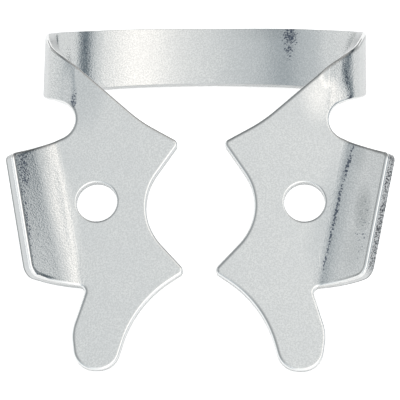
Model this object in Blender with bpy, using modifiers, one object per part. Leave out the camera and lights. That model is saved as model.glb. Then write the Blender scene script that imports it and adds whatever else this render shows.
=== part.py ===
"""Winged rubber dam clamp: one spring steel sheet, punched flat and folded into two jaws and a bow.

The flat blank lies in the XY plane, seen from the gum side (+Z). X runs from the middle of the
clamp out through the right jaw, Y runs from the tongues to the bow. Only the right half is drawn
and folded; a mirror at X = 0 makes the left one. The folded clamp is then laid down as it rests:
on the front edge of its bow and on the tips of its two tongues.
"""

import math

import bmesh
import bpy
from mathutils import Matrix, Vector

MM = 0.001
NAME = "rubber_dam_clamp"

# Sheet
SHEET = 0.75 * MM
EDGE_BREAK = 0.07 * MM

# Forceps holes
HOLE_SPACING = 14.54 * MM
HOLE_DIAMETER = 2.85 * MM

# Jaw: corners of the outline. X is measured from the middle of the clamp, Y from the line through the holes
REAR_PRONG_X = 1.52 * MM
REAR_PRONG_Y = 4.35 * MM
FRONT_PRONG_X = 0.95 * MM
FRONT_PRONG_Y = -4.99 * MM
PRONG_ROUND = 0.38 * MM
TOOTH_CORNER_X = 4.92 * MM
TOOTH_CORNER_Y = -0.68 * MM
TOOTH_ROUND = 4.2 * MM

# Tongue
TONGUE_ROOT_X = 4.39 * MM
TONGUE_ROOT_Y = -7.28 * MM
TONGUE_ROOT_ROUND = 8.0 * MM
TONGUE_INNER_X = 5.74 * MM
TONGUE_OUTER_X = 8.44 * MM
TONGUE_TIP_Y = -11.97 * MM
TONGUE_END_ROUND = 1.5 * MM
TONGUE_CHEEK_X = 8.8 * MM
TONGUE_CHEEK_Y = -9.35 * MM
TONGUE_CHEEK_ROUND = 3.0 * MM
TONGUE_NOTCH_X = 7.76 * MM
TONGUE_NOTCH_Y = -6.1 * MM
TONGUE_NOTCH_ROUND = 0.45 * MM

# Wing: its root fold starts at the notch and leans outwards, and the curl and outer edge run parallel
WING_REACH = 13.6 * MM
WING_LEAN = math.radians(11.0)
WING_ROOT_ANGLE = math.radians(20.0)
WING_ROOT_RADIUS = 1.8 * MM
WING_CURL_ANGLE = math.radians(37.0)
WING_CURL_RADIUS = 6.0 * MM
WING_BOTTOM = -5.95 * MM
WING_TOP = 2.7 * MM
WING_BOTTOM_ROUND = 0.9 * MM
WING_TOP_ROUND = 0.6 * MM

# Bay between the wing and the neck of the bow
BAY_CORNER_X = 6.83 * MM
BAY_CORNER_Y = 6.08 * MM
BAY_ROUND = 1.5 * MM

# Rear edge of the jaw, which runs on into the upper edge of the bow
REAR_KNEE_X = 4.3 * MM
REAR_KNEE_Y = 5.93 * MM
REAR_KNEE_ROUND = 10.0 * MM
REAR_EDGE_ANGLE = math.radians(41.5)
LOWER_EDGE_ANGLE = math.radians(23.5)

# Bow: neck fold, flat leg, shoulder and crown
NECK_LEAN = math.radians(-0.2)
NECK_ANGLE = math.radians(70.0)
NECK_RADIUS = 2.0 * MM
LEG_LENGTH = 0.34 * MM
SHOULDER_RADIUS = 6.4 * MM
CROWN_HALF_ANGLE = math.radians(30.0)
CROWN_WIDTH = 4.47 * MM
CROWN_RISE = 6.73 * MM
BOW_CORNER_ROUND = 8.8 * MM

# Fineness
ARC_SAG = 0.006 * MM
FOLD_STEP = math.radians(6.0)
HOLE_SIDES = 40
OVERSHOOT = 1.0 * MM
MERGE = 0.002 * MM
SHARP_ANGLE = math.radians(30.0)

STEEL_COLOUR = (0.62, 0.63, 0.62, 1.0)
STEEL_ROUGHNESS = 0.32


class Fold:
    """A bend of the sheet about a straight line of the blank, away from +Z unless it goes up."""

    def __init__(self, point, lean, radius, angle, up=False):
        self.point = Vector((point.x, point.y, 0.0))
        self.along = Vector((math.sin(lean), math.cos(lean), 0.0))
        self.out = Vector((math.cos(lean), -math.sin(lean), 0.0))
        self.radius = radius
        self.angle = angle
        self.length = radius * angle
        self.side = 1.0 if up else -1.0

    def distance(self, flat):
        return (flat - self.point).dot(self.out)

    def place(self, flat, folded):
        """Moves a point that the folds further out have already moved."""
        distance = self.distance(flat)
        if distance <= 0.0:
            return folded
        turn = min(distance / self.radius, self.angle)
        offset = folded - self.point
        past = offset.dot(self.out) - self.length if distance > self.length else 0.0
        reach = self.radius - self.side * folded.z
        run = reach * math.sin(turn) + past * math.cos(turn)
        rise = self.radius - reach * math.cos(turn) + past * math.sin(turn)
        kept = self.along * offset.dot(self.along)
        return self.point + kept + self.out * run + Vector((0.0, 0.0, self.side * rise))

    def lines(self):
        """Distances of the straight cuts that let the flat mesh follow the bend."""
        steps = max(2, math.ceil(self.angle / FOLD_STEP))
        return [self.length * i / steps for i in range(steps + 1)]


def crossing(start, heading, other, other_heading):
    """Where two straight lines of the blank meet."""
    a = Vector((math.cos(heading), math.sin(heading)))
    b = Vector((math.cos(other_heading), math.sin(other_heading)))
    gap = other - start
    return start + a * (gap.cross(b) / a.cross(b))


def rounded(corners):
    """The outline through (point, radius) corners, with an arc at each one."""
    count = len(corners)
    points = [point for point, radius in corners]
    turns = []
    trims = []
    for i, (point, radius) in enumerate(corners):
        before = (point - points[i - 1]).normalized()
        after = (points[(i + 1) % count] - point).normalized()
        turns.append(before.angle_signed(after))
        trims.append(radius * math.tan(abs(turns[i]) / 2.0))
    for i in range(count):
        j = (i + 1) % count
        share = (points[j] - points[i]).length / max(trims[i] + trims[j], MERGE)
        if share < 1.0:
            trims[i] *= share
            trims[j] *= share
    outline = []
    for i, point in enumerate(points):
        if trims[i] < MERGE:
            outline.append(point)
            continue
        before = (point - points[i - 1]).normalized()
        radius = trims[i] / math.tan(abs(turns[i]) / 2.0)
        steps = max(1, math.ceil(abs(turns[i]) / (2.0 * math.acos(1.0 - ARC_SAG / radius))))
        side = -math.copysign(1.0, turns[i])
        centre = point - before * trims[i] + Vector((-before.y, before.x)) * radius * side
        spoke = point - before * trims[i] - centre
        for step in range(steps + 1):
            outline.append(centre + Matrix.Rotation(-turns[i] * step / steps, 2) @ spoke)
    return outline


def wing_corner(height):
    """Outer corner of the flat wing at a height on the blank."""
    return Vector((WING_REACH + height * math.tan(WING_LEAN), height))


def touch(corner, first, second, radius, lean):
    """Where a fold line meets the round of a hollow corner between two straight edges."""
    a = (first - corner).normalized()
    b = (second - corner).normalized()
    centre = corner + (a + b).normalized() * radius / math.sin(a.angle(b) / 2.0)
    return centre - Vector((math.cos(lean), -math.sin(lean))) * radius


def wing_folds():
    """The tight fold at the root of the wing and the slow curl that follows it."""
    notch = Vector((TONGUE_NOTCH_X, TONGUE_NOTCH_Y))
    cheek = Vector((TONGUE_CHEEK_X, TONGUE_CHEEK_Y))
    start = touch(notch, cheek, wing_corner(WING_BOTTOM), TONGUE_NOTCH_ROUND, WING_LEAN)
    root = Fold(start, WING_LEAN, WING_ROOT_RADIUS, WING_ROOT_ANGLE, up=True)
    curl_start = root.point + root.out * root.length
    return root, Fold(curl_start, WING_LEAN, WING_CURL_RADIUS, WING_CURL_ANGLE, up=True)


def bow_folds():
    """Neck, shoulder and crown folds.

    The neck fold starts at the deepest point of the bay. The shoulder and crown folds lie so that
    their lines end up parallel to the mirror plane, and the crown's radius brings it there square.
    """
    bay = Vector((BAY_CORNER_X, BAY_CORNER_Y))
    lower_edge = Vector((math.cos(LOWER_EDGE_ANGLE), math.sin(LOWER_EDGE_ANGLE)))
    tangent = touch(bay, bay + lower_edge, wing_corner(WING_TOP), BAY_ROUND, NECK_LEAN)
    neck = Fold(tangent, NECK_LEAN, NECK_RADIUS, NECK_ANGLE)
    swing = math.atan(math.tan(NECK_LEAN) / math.cos(NECK_ANGLE))
    shoulder_lean = NECK_LEAN - swing
    start = neck.point + neck.out * (neck.length + LEG_LENGTH) + neck.along * CROWN_WIDTH / 2.0
    shoulder = Fold(start, shoulder_lean, SHOULDER_RADIUS, math.pi)
    leg_start = neck.place(start, start)
    leg_next = neck.place(start + shoulder.out * MM, start + shoulder.out * MM)
    leg_slope = math.acos((leg_next - leg_start).x / MM)
    shoulder = Fold(start, shoulder_lean, SHOULDER_RADIUS, math.pi - leg_slope - CROWN_HALF_ANGLE)
    crown_start = leg_start.x + SHOULDER_RADIUS * (math.sin(CROWN_HALF_ANGLE) - math.sin(leg_slope))
    crown = Fold(
        start + shoulder.out * shoulder.length,
        shoulder_lean,
        crown_start / math.sin(CROWN_HALF_ANGLE),
        CROWN_HALF_ANGLE,
    )
    return neck, shoulder, crown


def blank_corners(crown):
    """The half blank's corners and rounds, clockwise from the rear prong.

    The strip of the bow keeps one width from its corner to the crown, and both of its edges sweep
    round one centre until they are square to the mirror plane.
    """
    bay = Vector((BAY_CORNER_X, BAY_CORNER_Y))
    knee = Vector((REAR_KNEE_X, REAR_KNEE_Y))
    heading = math.atan2(crown.out.y, crown.out.x)
    middle = (crown.point + crown.along * CROWN_RISE + crown.out * crown.length).to_2d()
    across = crown.along.to_2d() * CROWN_WIDTH
    beyond = crown.out.to_2d() * OVERSHOOT
    half_turn = (LOWER_EDGE_ANGLE - heading) / 2.0
    lower = crossing(bay, LOWER_EDGE_ANGLE, middle - across / 2.0, heading)
    sweep = (middle - across / 2.0 - lower).length / math.tan(half_turn)
    bend = lower + across - crown.out.to_2d() * CROWN_WIDTH * math.tan(half_turn)
    upper = crossing(knee, REAR_EDGE_ANGLE, bend, LOWER_EDGE_ANGLE)
    return [
        (Vector((REAR_PRONG_X, REAR_PRONG_Y)), PRONG_ROUND),
        (knee, REAR_KNEE_ROUND),
        (upper, BOW_CORNER_ROUND),
        (bend, sweep + CROWN_WIDTH),
        (middle + across / 2.0 + beyond, 0.0),
        (middle - across / 2.0 + beyond, 0.0),
        (lower, sweep),
        (bay, BAY_ROUND),
        (wing_corner(WING_TOP), WING_TOP_ROUND),
        (wing_corner(WING_BOTTOM), WING_BOTTOM_ROUND),
        (Vector((TONGUE_NOTCH_X, TONGUE_NOTCH_Y)), TONGUE_NOTCH_ROUND),
        (Vector((TONGUE_CHEEK_X, TONGUE_CHEEK_Y)), TONGUE_CHEEK_ROUND),
        (Vector((TONGUE_OUTER_X, TONGUE_TIP_Y)), TONGUE_END_ROUND),
        (Vector((TONGUE_INNER_X, TONGUE_TIP_Y)), TONGUE_END_ROUND),
        (Vector((TONGUE_ROOT_X, TONGUE_ROOT_Y)), TONGUE_ROOT_ROUND),
        (Vector((FRONT_PRONG_X, FRONT_PRONG_Y)), PRONG_ROUND),
        (Vector((TOOTH_CORNER_X, TOOTH_CORNER_Y)), TOOTH_ROUND),
    ]


def add_loop(curve, points):
    spline = curve.splines.new("POLY")
    spline.points.add(len(points) - 1)
    for target, point in zip(spline.points, points):
        target.co = (point.x, point.y, 0.0, 1.0)
    spline.use_cyclic_u = True


def blank_mesh(crown):
    """The flat half blank as a mesh, its edges broken all round."""
    curve = bpy.data.curves.new("blank", "CURVE")
    curve.dimensions = "2D"
    curve.fill_mode = "BOTH"
    curve.bevel_depth = EDGE_BREAK
    curve.bevel_resolution = 1
    curve.extrude = SHEET / 2.0 - EDGE_BREAK
    curve.offset = -EDGE_BREAK
    add_loop(curve, rounded(blank_corners(crown)))
    hole_middle = Vector((HOLE_SPACING / 2.0, 0.0))
    spoke = Vector((HOLE_DIAMETER / 2.0, 0.0))
    turns = [Matrix.Rotation(2.0 * math.pi * i / HOLE_SIDES, 2) for i in range(HOLE_SIDES)]
    add_loop(curve, [hole_middle + turn @ spoke for turn in turns])
    outline = bpy.data.objects.new("blank", curve)
    bpy.context.scene.collection.objects.link(outline)
    bpy.context.view_layer.update()
    mesh = bpy.data.meshes.new_from_object(outline.evaluated_get(bpy.context.evaluated_depsgraph_get()))
    bpy.data.objects.remove(outline)
    return mesh


def cut(shape, fold, distance, keep, clear=False):
    """Cuts the faces that keep() picks along a line parallel to the fold."""
    faces = [face for face in shape.faces if keep(face.calc_center_median())]
    edges = {edge for face in faces for edge in face.edges}
    verts = {vert for face in faces for vert in face.verts}
    bmesh.ops.bisect_plane(
        shape,
        geom=[*verts, *edges, *faces],
        dist=MERGE / 10.0,
        plane_co=fold.point + fold.out * distance,
        plane_no=fold.out,
        clear_outer=clear,
    )


def folded_half():
    """The right half of the clamp, open at the middle of the crown."""
    neck, shoulder, crown = bow_folds()
    root, curl = wing_folds()

    def in_bow(point):
        return point.y > neck.point.y

    def in_wing(point):
        return root.point.y < point.y < neck.point.y

    mesh = blank_mesh(crown)
    shape = bmesh.new()
    shape.from_mesh(mesh)
    bmesh.ops.remove_doubles(shape, verts=shape.verts, dist=MERGE)
    # Level cuts where the bow and the wing begin and end
    for end in (neck.point, root.point):
        cut(shape, Fold(end, -math.pi / 2.0, SHEET, 0.0), 0.0, lambda point: True)
    for fold in (neck, shoulder, crown):
        for distance in fold.lines():
            last = fold is crown and distance == fold.lines()[-1]
            cut(shape, fold, distance, in_bow, clear=last)
    for fold in (root, curl):
        for distance in fold.lines():
            cut(shape, fold, distance, in_wing)
    for vert in shape.verts:
        flat = vert.co.copy()
        if in_bow(flat) and neck.distance(flat) > 0.0:
            for fold in (crown, shoulder, neck):
                vert.co = fold.place(flat, vert.co.copy())
        elif in_wing(flat):
            for fold in (curl, root):
                vert.co = fold.place(flat, vert.co.copy())
    for vert in shape.verts:
        if abs(vert.co.x) < MERGE:
            vert.co.x = 0.0
    bmesh.ops.recalc_face_normals(shape, faces=shape.faces)
    shape.to_mesh(mesh)
    shape.free()
    return mesh


def rest_turn(mesh):
    """Rotation and lift that lay the clamp on its tongue tips and on the bow's front edge."""
    points = [vert.co for vert in mesh.vertices]
    tip = min(points, key=lambda point: (point.y, point.z))
    bow = [point for point in points if point.x < SHEET]
    slope = max(math.atan2(tip.z - point.z, point.y - tip.y) for point in bow)
    turn = Matrix.Rotation(slope, 4, "X")
    placed = [turn @ point for point in points]
    low = min(point.z for point in placed)
    middle = (max(point.y for point in placed) + min(point.y for point in placed)) / 2.0
    return Matrix.Translation((0.0, -middle, -low)) @ turn


def steel():
    material = bpy.data.materials.new("spring_steel")
    material.use_nodes = True
    shader = material.node_tree.nodes["Principled BSDF"]
    shader.inputs["Base Color"].default_value = STEEL_COLOUR
    shader.inputs["Metallic"].default_value = 1.0
    shader.inputs["Roughness"].default_value = STEEL_ROUGHNESS
    return material


def build():
    for obj in list(bpy.data.objects):
        bpy.data.objects.remove(obj)
    group = bpy.data.collections.new(NAME)
    bpy.context.scene.collection.children.link(group)
    mesh = folded_half()
    mesh.transform(rest_turn(mesh))
    mesh.materials.clear()
    mesh.materials.append(steel())
    mesh.shade_smooth()
    mesh.set_sharp_from_angle(angle=SHARP_ANGLE)
    clamp = bpy.data.objects.new("clamp", mesh)
    group.objects.link(clamp)
    mirror = clamp.modifiers.new("left_half", "MIRROR")
    mirror.merge_threshold = MERGE
    return clamp


build()
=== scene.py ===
import math

import bmesh
import bpy
from mathutils import Matrix, Vector


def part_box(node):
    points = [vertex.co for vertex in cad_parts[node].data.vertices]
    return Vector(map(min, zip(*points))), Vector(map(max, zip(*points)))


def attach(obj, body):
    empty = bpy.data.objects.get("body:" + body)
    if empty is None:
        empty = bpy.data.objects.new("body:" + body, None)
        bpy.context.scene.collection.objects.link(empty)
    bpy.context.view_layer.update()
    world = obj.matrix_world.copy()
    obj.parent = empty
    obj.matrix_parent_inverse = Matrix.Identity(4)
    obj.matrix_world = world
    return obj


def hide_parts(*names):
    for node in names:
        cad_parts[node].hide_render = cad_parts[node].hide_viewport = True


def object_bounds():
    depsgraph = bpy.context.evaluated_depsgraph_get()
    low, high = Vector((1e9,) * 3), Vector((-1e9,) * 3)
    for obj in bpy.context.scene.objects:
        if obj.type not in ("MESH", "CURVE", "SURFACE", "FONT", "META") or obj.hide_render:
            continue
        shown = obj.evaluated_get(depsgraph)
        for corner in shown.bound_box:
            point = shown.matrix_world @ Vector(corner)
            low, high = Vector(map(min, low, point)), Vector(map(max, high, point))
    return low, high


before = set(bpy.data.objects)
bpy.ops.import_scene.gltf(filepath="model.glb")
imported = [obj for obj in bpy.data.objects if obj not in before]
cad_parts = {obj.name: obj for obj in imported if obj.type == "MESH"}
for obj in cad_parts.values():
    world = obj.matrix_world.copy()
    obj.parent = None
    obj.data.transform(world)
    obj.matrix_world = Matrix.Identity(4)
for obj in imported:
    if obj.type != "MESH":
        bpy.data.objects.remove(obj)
cadBounds = [list(corner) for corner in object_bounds()]
print("frame loaded", cadBounds)

mm = 0.001

# Sizes of the sheet, in millimetres and degrees. X goes out through the right jaw, Y from the
# tongues to the bow and Z towards the gum. The corners run clockwise from the rear prong. The punched
# edge is rolled over on the gum side and has its burr on the bow side
blank = {
    "sheet": 0.75,
    "holeSpacing": 14.54,
    "holeDiameter": 2.85,
    "rearProng": (1.52, 4.35),
    "frontProng": (0.95, -4.99),
    "prongRound": 0.38,
    "toothCorner": (4.92, -0.68),
    "toothRound": 4.2,
    "tongueRoot": (4.39, -7.28),
    "tongueRootRound": 8.0,
    "tongueInnerEnd": (5.74, -11.97),
    "tongueOuterEnd": (8.44, -11.97),
    "tongueEndRound": 1.5,
    "tongueCheek": (8.8, -9.35),
    "tongueCheekRound": 3.0,
    "tongueNotch": (7.76, -6.1),
    "tongueNotchRound": 0.45,
    "wingReach": 13.6,
    "wingLean": 11.0,
    "wingRootAngle": 20.0,
    "wingRootRadius": 1.8,
    "wingCurlAngle": 37.0,
    "wingCurlRadius": 6.0,
    "wingBottom": -5.95,
    "wingTop": 2.7,
    "wingBottomRound": 0.9,
    "wingTopRound": 0.6,
    "bayCorner": (6.83, 6.08),
    "bayRound": 1.5,
    "rearKnee": (4.3, 5.93),
    "rearKneeRound": 10.0,
    "rearEdgeAngle": 41.5,
    "lowerEdgeAngle": 23.5,
    "neckLean": -0.2,
    "neckAngle": 70.0,
    "neckRadius": 2.0,
    "legLength": 0.34,
    "shoulderRadius": 6.4,
    "crownHalfAngle": 30.0,
    "crownWidth": 4.47,
    "crownRise": 6.73,
    "bowCornerRound": 8.8,
    "edgeMargin": 0.34,
    "rollWidth": 0.2,
    "rollDepth": 0.13,
    "wallTaper": 0.01,
    "burrRound": 0.05,
    "holeEdgeShare": 0.62,
}

# Values stored as "wall" on the rings round the edge, from the gum face to the bow face, and the
# range of them that counts as edge
wallMarks = {
    "gumFace": 0.0,
    "roll": 0.2,
    "rollEnd": 1.0,
    "middle": 1.5,
    "burr": 2.0,
    "bowFace": 3.5,
    "onEdge": (0.1, 3.1),
}

# How finely the sheet is cut, in millimetres and degrees. Fade is how far beside a fold one more line
# is cut, and level how far a level face's normal may lean sideways
fineness = {
    "arcSag": 0.0015,
    "holeSides": 96,
    "foldStep": 2.5,
    "foldSteps": 4,
    "rollSteps": 8,
    "burrSteps": 3,
    "fade": 0.3,
    "overshoot": 1.0,
    "merge": 0.0005,
    "cut": 0.00005,
    "weld": 0.002,
    "level": 0.001,
}


# A point of the wing's outer edge in the flat sheet
def wingCorner(height):
    return Vector((blank["wingReach"] + height * math.tan(math.radians(blank["wingLean"])), height))


# Where two straight lines meet, each given by a point and a heading
def crossing(start, heading, other, otherHeading):
    a = Vector((math.cos(heading), math.sin(heading)))
    b = Vector((math.cos(otherHeading), math.sin(otherHeading)))
    return start + a * ((other - start).cross(b) / a.cross(b))


# A bend of the sheet: it starts at a line through point that leans from Y, and side is 1 up, -1 down
class Fold:
    def __init__(self, name, point, lean, radius, angle, side):
        self.name = name
        self.point = Vector((point.x, point.y, 0.0))
        self.lean = lean
        self.radius = radius
        self.angle = angle
        self.side = side
        self.along = Vector((math.sin(lean), math.cos(lean), 0.0))
        self.out = Vector((math.cos(lean), -math.sin(lean), 0.0))
        self.length = radius * angle


# Where a fold line meets the round of a hollow corner between two straight edges
def touch(corner, first, second, radius, lean):
    a = (first - corner).normalized()
    b = (second - corner).normalized()
    centre = corner + (a + b).normalized() * radius / math.sin(a.angle(b) / 2.0)
    return centre - Vector((math.cos(lean), -math.sin(lean))) * radius


# The folds of the right half, outermost first: the bow's three, then the wing's two
def sheetFolds():
    lowerAngle = math.radians(blank["lowerEdgeAngle"])
    bay = Vector(blank["bayCorner"])
    lean = math.radians(blank["neckLean"])
    angle = math.radians(blank["neckAngle"])
    half = math.radians(blank["crownHalfAngle"])
    shoulderRadius = blank["shoulderRadius"]
    bowEdge = bay + Vector((math.cos(lowerAngle), math.sin(lowerAngle)))
    neckStart = touch(bay, bowEdge, wingCorner(blank["wingTop"]), blank["bayRound"], lean)
    neck = Fold("neck", neckStart, lean, blank["neckRadius"], angle, -1.0)
    shoulderLean = lean - math.atan(math.tan(lean) / math.cos(angle))
    legEnd = neck.point + neck.out * (neck.length + blank["legLength"])
    start = legEnd + neck.along * blank["crownWidth"] / 2.0
    past = (start - neck.point).dot(neck.out) - neck.length
    kept = neck.along * (start - neck.point).dot(neck.along)
    startX = (neck.point + kept + neck.out * (neck.radius * math.sin(angle) + past * math.cos(angle))).x
    swing = shoulderLean - lean
    slopeCos = math.cos(swing) * math.cos(angle) * math.cos(lean) - math.sin(swing) * math.sin(lean)
    legSlope = math.acos(slopeCos)
    shoulder = Fold("shoulder", start, shoulderLean, shoulderRadius, math.pi - legSlope - half, -1.0)
    crownX = startX + shoulderRadius * (math.sin(half) - math.sin(legSlope))
    crownStart = start + shoulder.out * shoulder.length
    crown = Fold("crown", crownStart, shoulderLean, crownX / math.sin(half), half, -1.0)
    wingLean = math.radians(blank["wingLean"])
    notch = Vector(blank["tongueNotch"])
    wingBottom = wingCorner(blank["wingBottom"])
    wingStart = touch(notch, Vector(blank["tongueCheek"]), wingBottom, blank["tongueNotchRound"], wingLean)
    rootAngle = math.radians(blank["wingRootAngle"])
    curlAngle = math.radians(blank["wingCurlAngle"])
    root = Fold("root", wingStart, wingLean, blank["wingRootRadius"], rootAngle, 1.0)
    curlStart = root.point + root.out * root.length
    curl = Fold("curl", curlStart, wingLean, blank["wingCurlRadius"], curlAngle, 1.0)
    return {fold.name: fold for fold in (crown, shoulder, neck, curl, root)}


# The right half's corners in the flat sheet, each with its rounding
def blankCorners(crown):
    heading = math.atan2(crown.out.y, crown.out.x)
    out = crown.out.to_2d()
    middle = (crown.point + crown.along * blank["crownRise"]).to_2d() + out * crown.length
    across = crown.along.to_2d() * blank["crownWidth"]
    beyond = out * fineness["overshoot"]
    lowerAngle = math.radians(blank["lowerEdgeAngle"])
    halfTurn = (lowerAngle - heading) / 2.0
    bay = Vector(blank["bayCorner"])
    lower = crossing(bay, lowerAngle, middle - across / 2.0, heading)
    sweep = (middle - across / 2.0 - lower).length / math.tan(halfTurn)
    bend = lower + across - out * blank["crownWidth"] * math.tan(halfTurn)
    upper = crossing(Vector(blank["rearKnee"]), math.radians(blank["rearEdgeAngle"]), bend, lowerAngle)
    return [
        (blank["rearProng"], blank["prongRound"]),
        (blank["rearKnee"], blank["rearKneeRound"]),
        (upper, blank["bowCornerRound"]),
        (bend, sweep + blank["crownWidth"]),
        (middle + across / 2.0 + beyond, 0.0),
        (middle - across / 2.0 + beyond, 0.0),
        (lower, sweep),
        (bay, blank["bayRound"]),
        (wingCorner(blank["wingTop"]), blank["wingTopRound"]),
        (wingCorner(blank["wingBottom"]), blank["wingBottomRound"]),
        (blank["tongueNotch"], blank["tongueNotchRound"]),
        (blank["tongueCheek"], blank["tongueCheekRound"]),
        (blank["tongueOuterEnd"], blank["tongueEndRound"]),
        (blank["tongueInnerEnd"], blank["tongueEndRound"]),
        (blank["tongueRoot"], blank["tongueRootRound"]),
        (blank["frontProng"], blank["prongRound"]),
        (blank["toothCorner"], blank["toothRound"]),
    ]


# Outline points with their outward directions, an arc at each corner
def roundedOutline(corners):
    points = [Vector(point) for point, radius in corners]
    count = len(points)
    turns = []
    trims = []
    for i, (point, radius) in enumerate(corners):
        before = (points[i] - points[i - 1]).normalized()
        after = (points[(i + 1) % count] - points[i]).normalized()
        turns.append(before.angle_signed(after))
        trims.append(radius * math.tan(abs(turns[i]) / 2.0))
    for i in range(count):
        j = (i + 1) % count
        share = (points[j] - points[i]).length / max(trims[i] + trims[j], fineness["merge"])
        if share < 1.0:
            trims[i] *= share
            trims[j] *= share
    outline = []
    for i, point in enumerate(points):
        before = (point - points[i - 1]).normalized()
        if trims[i] < fineness["merge"]:
            outline.append((point, Vector((-before.y, before.x))))
            continue
        bend = math.copysign(1.0, turns[i])
        radius = trims[i] / math.tan(abs(turns[i]) / 2.0)
        steps = max(2, math.ceil(abs(turns[i]) / (2.0 * math.acos(1.0 - fineness["arcSag"] / radius))))
        centre = point - before * trims[i] - Vector((-before.y, before.x)) * radius * bend
        spoke = point - before * trims[i] - centre
        for step in range(steps + 1):
            arm = Matrix.Rotation(-turns[i] * step / steps, 2) @ spoke
            outline.append((centre + arm, arm.normalized() * bend))
    return outline


def holeOutline():
    middle = Vector((blank["holeSpacing"] / 2.0, 0.0))
    outline = []
    for i in range(fineness["holeSides"]):
        angle = -2.0 * math.pi * i / fineness["holeSides"]
        arm = Vector((math.cos(angle), math.sin(angle)))
        outline.append((middle + arm * blank["holeDiameter"] / 2.0, -arm))
    return outline


# Rings of the punched edge: distance in from the outline, height, slope of the surface, wall mark
def edgeRings():
    top = blank["sheet"] / 2.0
    margin = blank["edgeMargin"]
    width = blank["rollWidth"]
    depth = blank["rollDepth"]
    burr = blank["burrRound"]
    taper = blank["wallTaper"]
    roll = wallMarks["roll"]
    rings = [(margin, top, 90.0, wallMarks["gumFace"])]
    for step in range(fineness["rollSteps"] + 1):
        share = step / fineness["rollSteps"]
        turn = math.pi / 2.0 * share
        slope = math.degrees(math.atan2(math.cos(turn) / depth, math.sin(turn) / width))
        height = top - depth * (1.0 - math.cos(turn))
        mark = roll + (wallMarks["rollEnd"] - roll) * share
        rings.append((width * (1.0 - math.sin(turn)), height, slope, mark))
    wallEnd = -top + burr
    middle = (top - depth + wallEnd) / 2.0
    taperAngle = math.degrees(math.atan2(taper, middle - wallEnd))
    rings.append((0.0, middle, 0.0, wallMarks["middle"]))
    for step in range(fineness["burrSteps"] + 1):
        share = step / fineness["burrSteps"]
        turn = math.pi / 2.0 * share
        slope = -taperAngle - (90.0 - taperAngle) * share
        inset = taper + burr * (1.0 - math.cos(turn))
        rings.append((inset, wallEnd - burr * math.sin(turn), slope, wallMarks["burr"] + share))
    rings.append((margin, -top, -90.0, wallMarks["bowFace"]))
    return rings


# The right half of the blank, lying flat, with its edge profile and shading directions
def flatSheet(folds):
    shape = bmesh.new()
    wall = shape.verts.layers.float.new("wall")
    shade = shape.verts.layers.float_vector.new("shade")
    facing = shape.verts.layers.float_vector.new("outward")
    rings = edgeRings()
    rims = {0: [], len(rings) - 1: []}
    rim = roundedOutline(blankCorners(folds["crown"]))
    for outline, share in ((rim, 1.0), (holeOutline(), blank["holeEdgeShare"])):
        rows = []
        for inset, height, slope, zone in rings:
            row = []
            for point, outward in outline:
                place = point - outward * inset * share
                vert = shape.verts.new((place.x, place.y, height))
                tilt = math.radians(slope)
                flatPart = outward * math.cos(tilt)
                vert[wall] = zone
                vert[facing] = (outward.x, outward.y, 0.0)
                vert[shade] = (flatPart.x, flatPart.y, math.sin(tilt))
                row.append(vert)
            rows.append(row)
        count = len(outline)
        for upper, lower in zip(rows, rows[1:]):
            for i in range(count):
                j = (i + 1) % count
                shape.faces.new((upper[i], upper[j], lower[j], lower[i]))
        for end in rims:
            row = rows[end]
            rims[end] += [shape.edges.get((row[i], row[(i + 1) % count])) for i in range(count)]
    for edges in rims.values():
        bmesh.ops.triangle_fill(shape, edges=edges, use_beauty=True)
    return shape


# Cuts the faces of a zone along a line parallel to a fold
def cutAcross(shape, fold, distance, zone, clear=False):
    faces = [face for face in shape.faces if zone(face.calc_center_median())]
    edges = {side for face in faces for side in face.edges}
    verts = {vert for face in faces for vert in face.verts}
    bmesh.ops.bisect_plane(
        shape,
        geom=[*verts, *edges, *faces],
        dist=fineness["cut"],
        plane_co=fold.point + fold.out * distance,
        plane_no=fold.out,
        clear_outer=clear,
    )


def cutSheet(shape, folds):
    bowStart = folds["neck"].point.y
    wingStart = folds["root"].point.y
    for height in (bowStart, wingStart):
        level = Fold("level", Vector((0.0, height)), -math.pi / 2.0, 1.0, 0.0, 1.0)
        cutAcross(shape, level, 0.0, lambda point: True)
    for name, fold in folds.items():
        steps = max(fineness["foldSteps"], math.ceil(math.degrees(fold.angle) / fineness["foldStep"]))
        top, bottom = (bowStart, wingStart) if fold.side > 0.0 else (math.inf, bowStart)
        places = [fold.length * i / steps for i in range(steps + 1)]
        if name in ("neck", "root"):
            places.insert(0, -fineness["fade"])
        if name in ("neck", "curl"):
            places.append(fold.length + fineness["fade"])
        for place in places:
            last = name == "crown" and place == places[-1]
            cutAcross(shape, fold, place, lambda point: bottom < point.y < top, clear=last)
    bmesh.ops.recalc_face_normals(shape, faces=shape.faces)


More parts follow.
